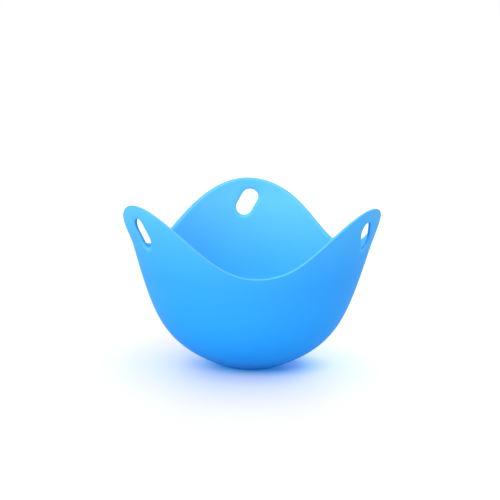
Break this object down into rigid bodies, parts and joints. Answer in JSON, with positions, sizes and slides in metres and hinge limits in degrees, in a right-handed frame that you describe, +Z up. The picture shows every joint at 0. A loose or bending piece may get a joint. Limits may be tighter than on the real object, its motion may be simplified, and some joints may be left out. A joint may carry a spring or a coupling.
{
  "type": "silicone egg poaching cup",
  "caption": "Round silicone egg poaching cup on a small flat foot, with a wavy rim that rises into flexible ears, each with a slanted slot for lifting.",
  "frame": {"origin": "centre of the flat underside of the foot", "axes": "+Z up along the axis of the bowl, +Y towards the rear ear, front valley of the rim towards -Y"},
  "size_m": [0.095, 0.0927, 0.0651],
  "materials": {
    "silicone": "matte moulded silicone"
  },
  "bodies": {
    "cup": {"bowl": "silicone", "rear_flex_band": "silicone", "left_flex_band": "silicone", "right_flex_band": "silicone"},
    "rear_ear": {"rear_ear": "silicone"},
    "left_ear": {"left_ear": "silicone"},
    "right_ear": {"right_ear": "silicone"}
  },
  "joints": [
    {"name": "rear_ear_flex", "type": "hinge", "parent": "cup", "child": "rear_ear", "pos_m": [0, 0.038, 0.0458], "axis": [1, 0, 0], "range_deg": [-25, 35], "stiffness_Nm_per_rad": 0.015, "deforming": ["rear_flex_band"]},
    {"name": "left_ear_flex", "type": "hinge", "parent": "cup", "child": "left_ear", "pos_m": [-0.03291, -0.019, 0.0458], "axis": [-0.5, 0.866, 0], "range_deg": [-25, 35], "stiffness_Nm_per_rad": 0.015, "deforming": ["left_flex_band"]},
    {"name": "right_ear_flex", "type": "hinge", "parent": "cup", "child": "right_ear", "pos_m": [0.03291, -0.019, 0.0458], "axis": [-0.5, -0.866, 0], "range_deg": [-25, 35], "stiffness_Nm_per_rad": 0.015, "deforming": ["right_flex_band"]}
  ]
}
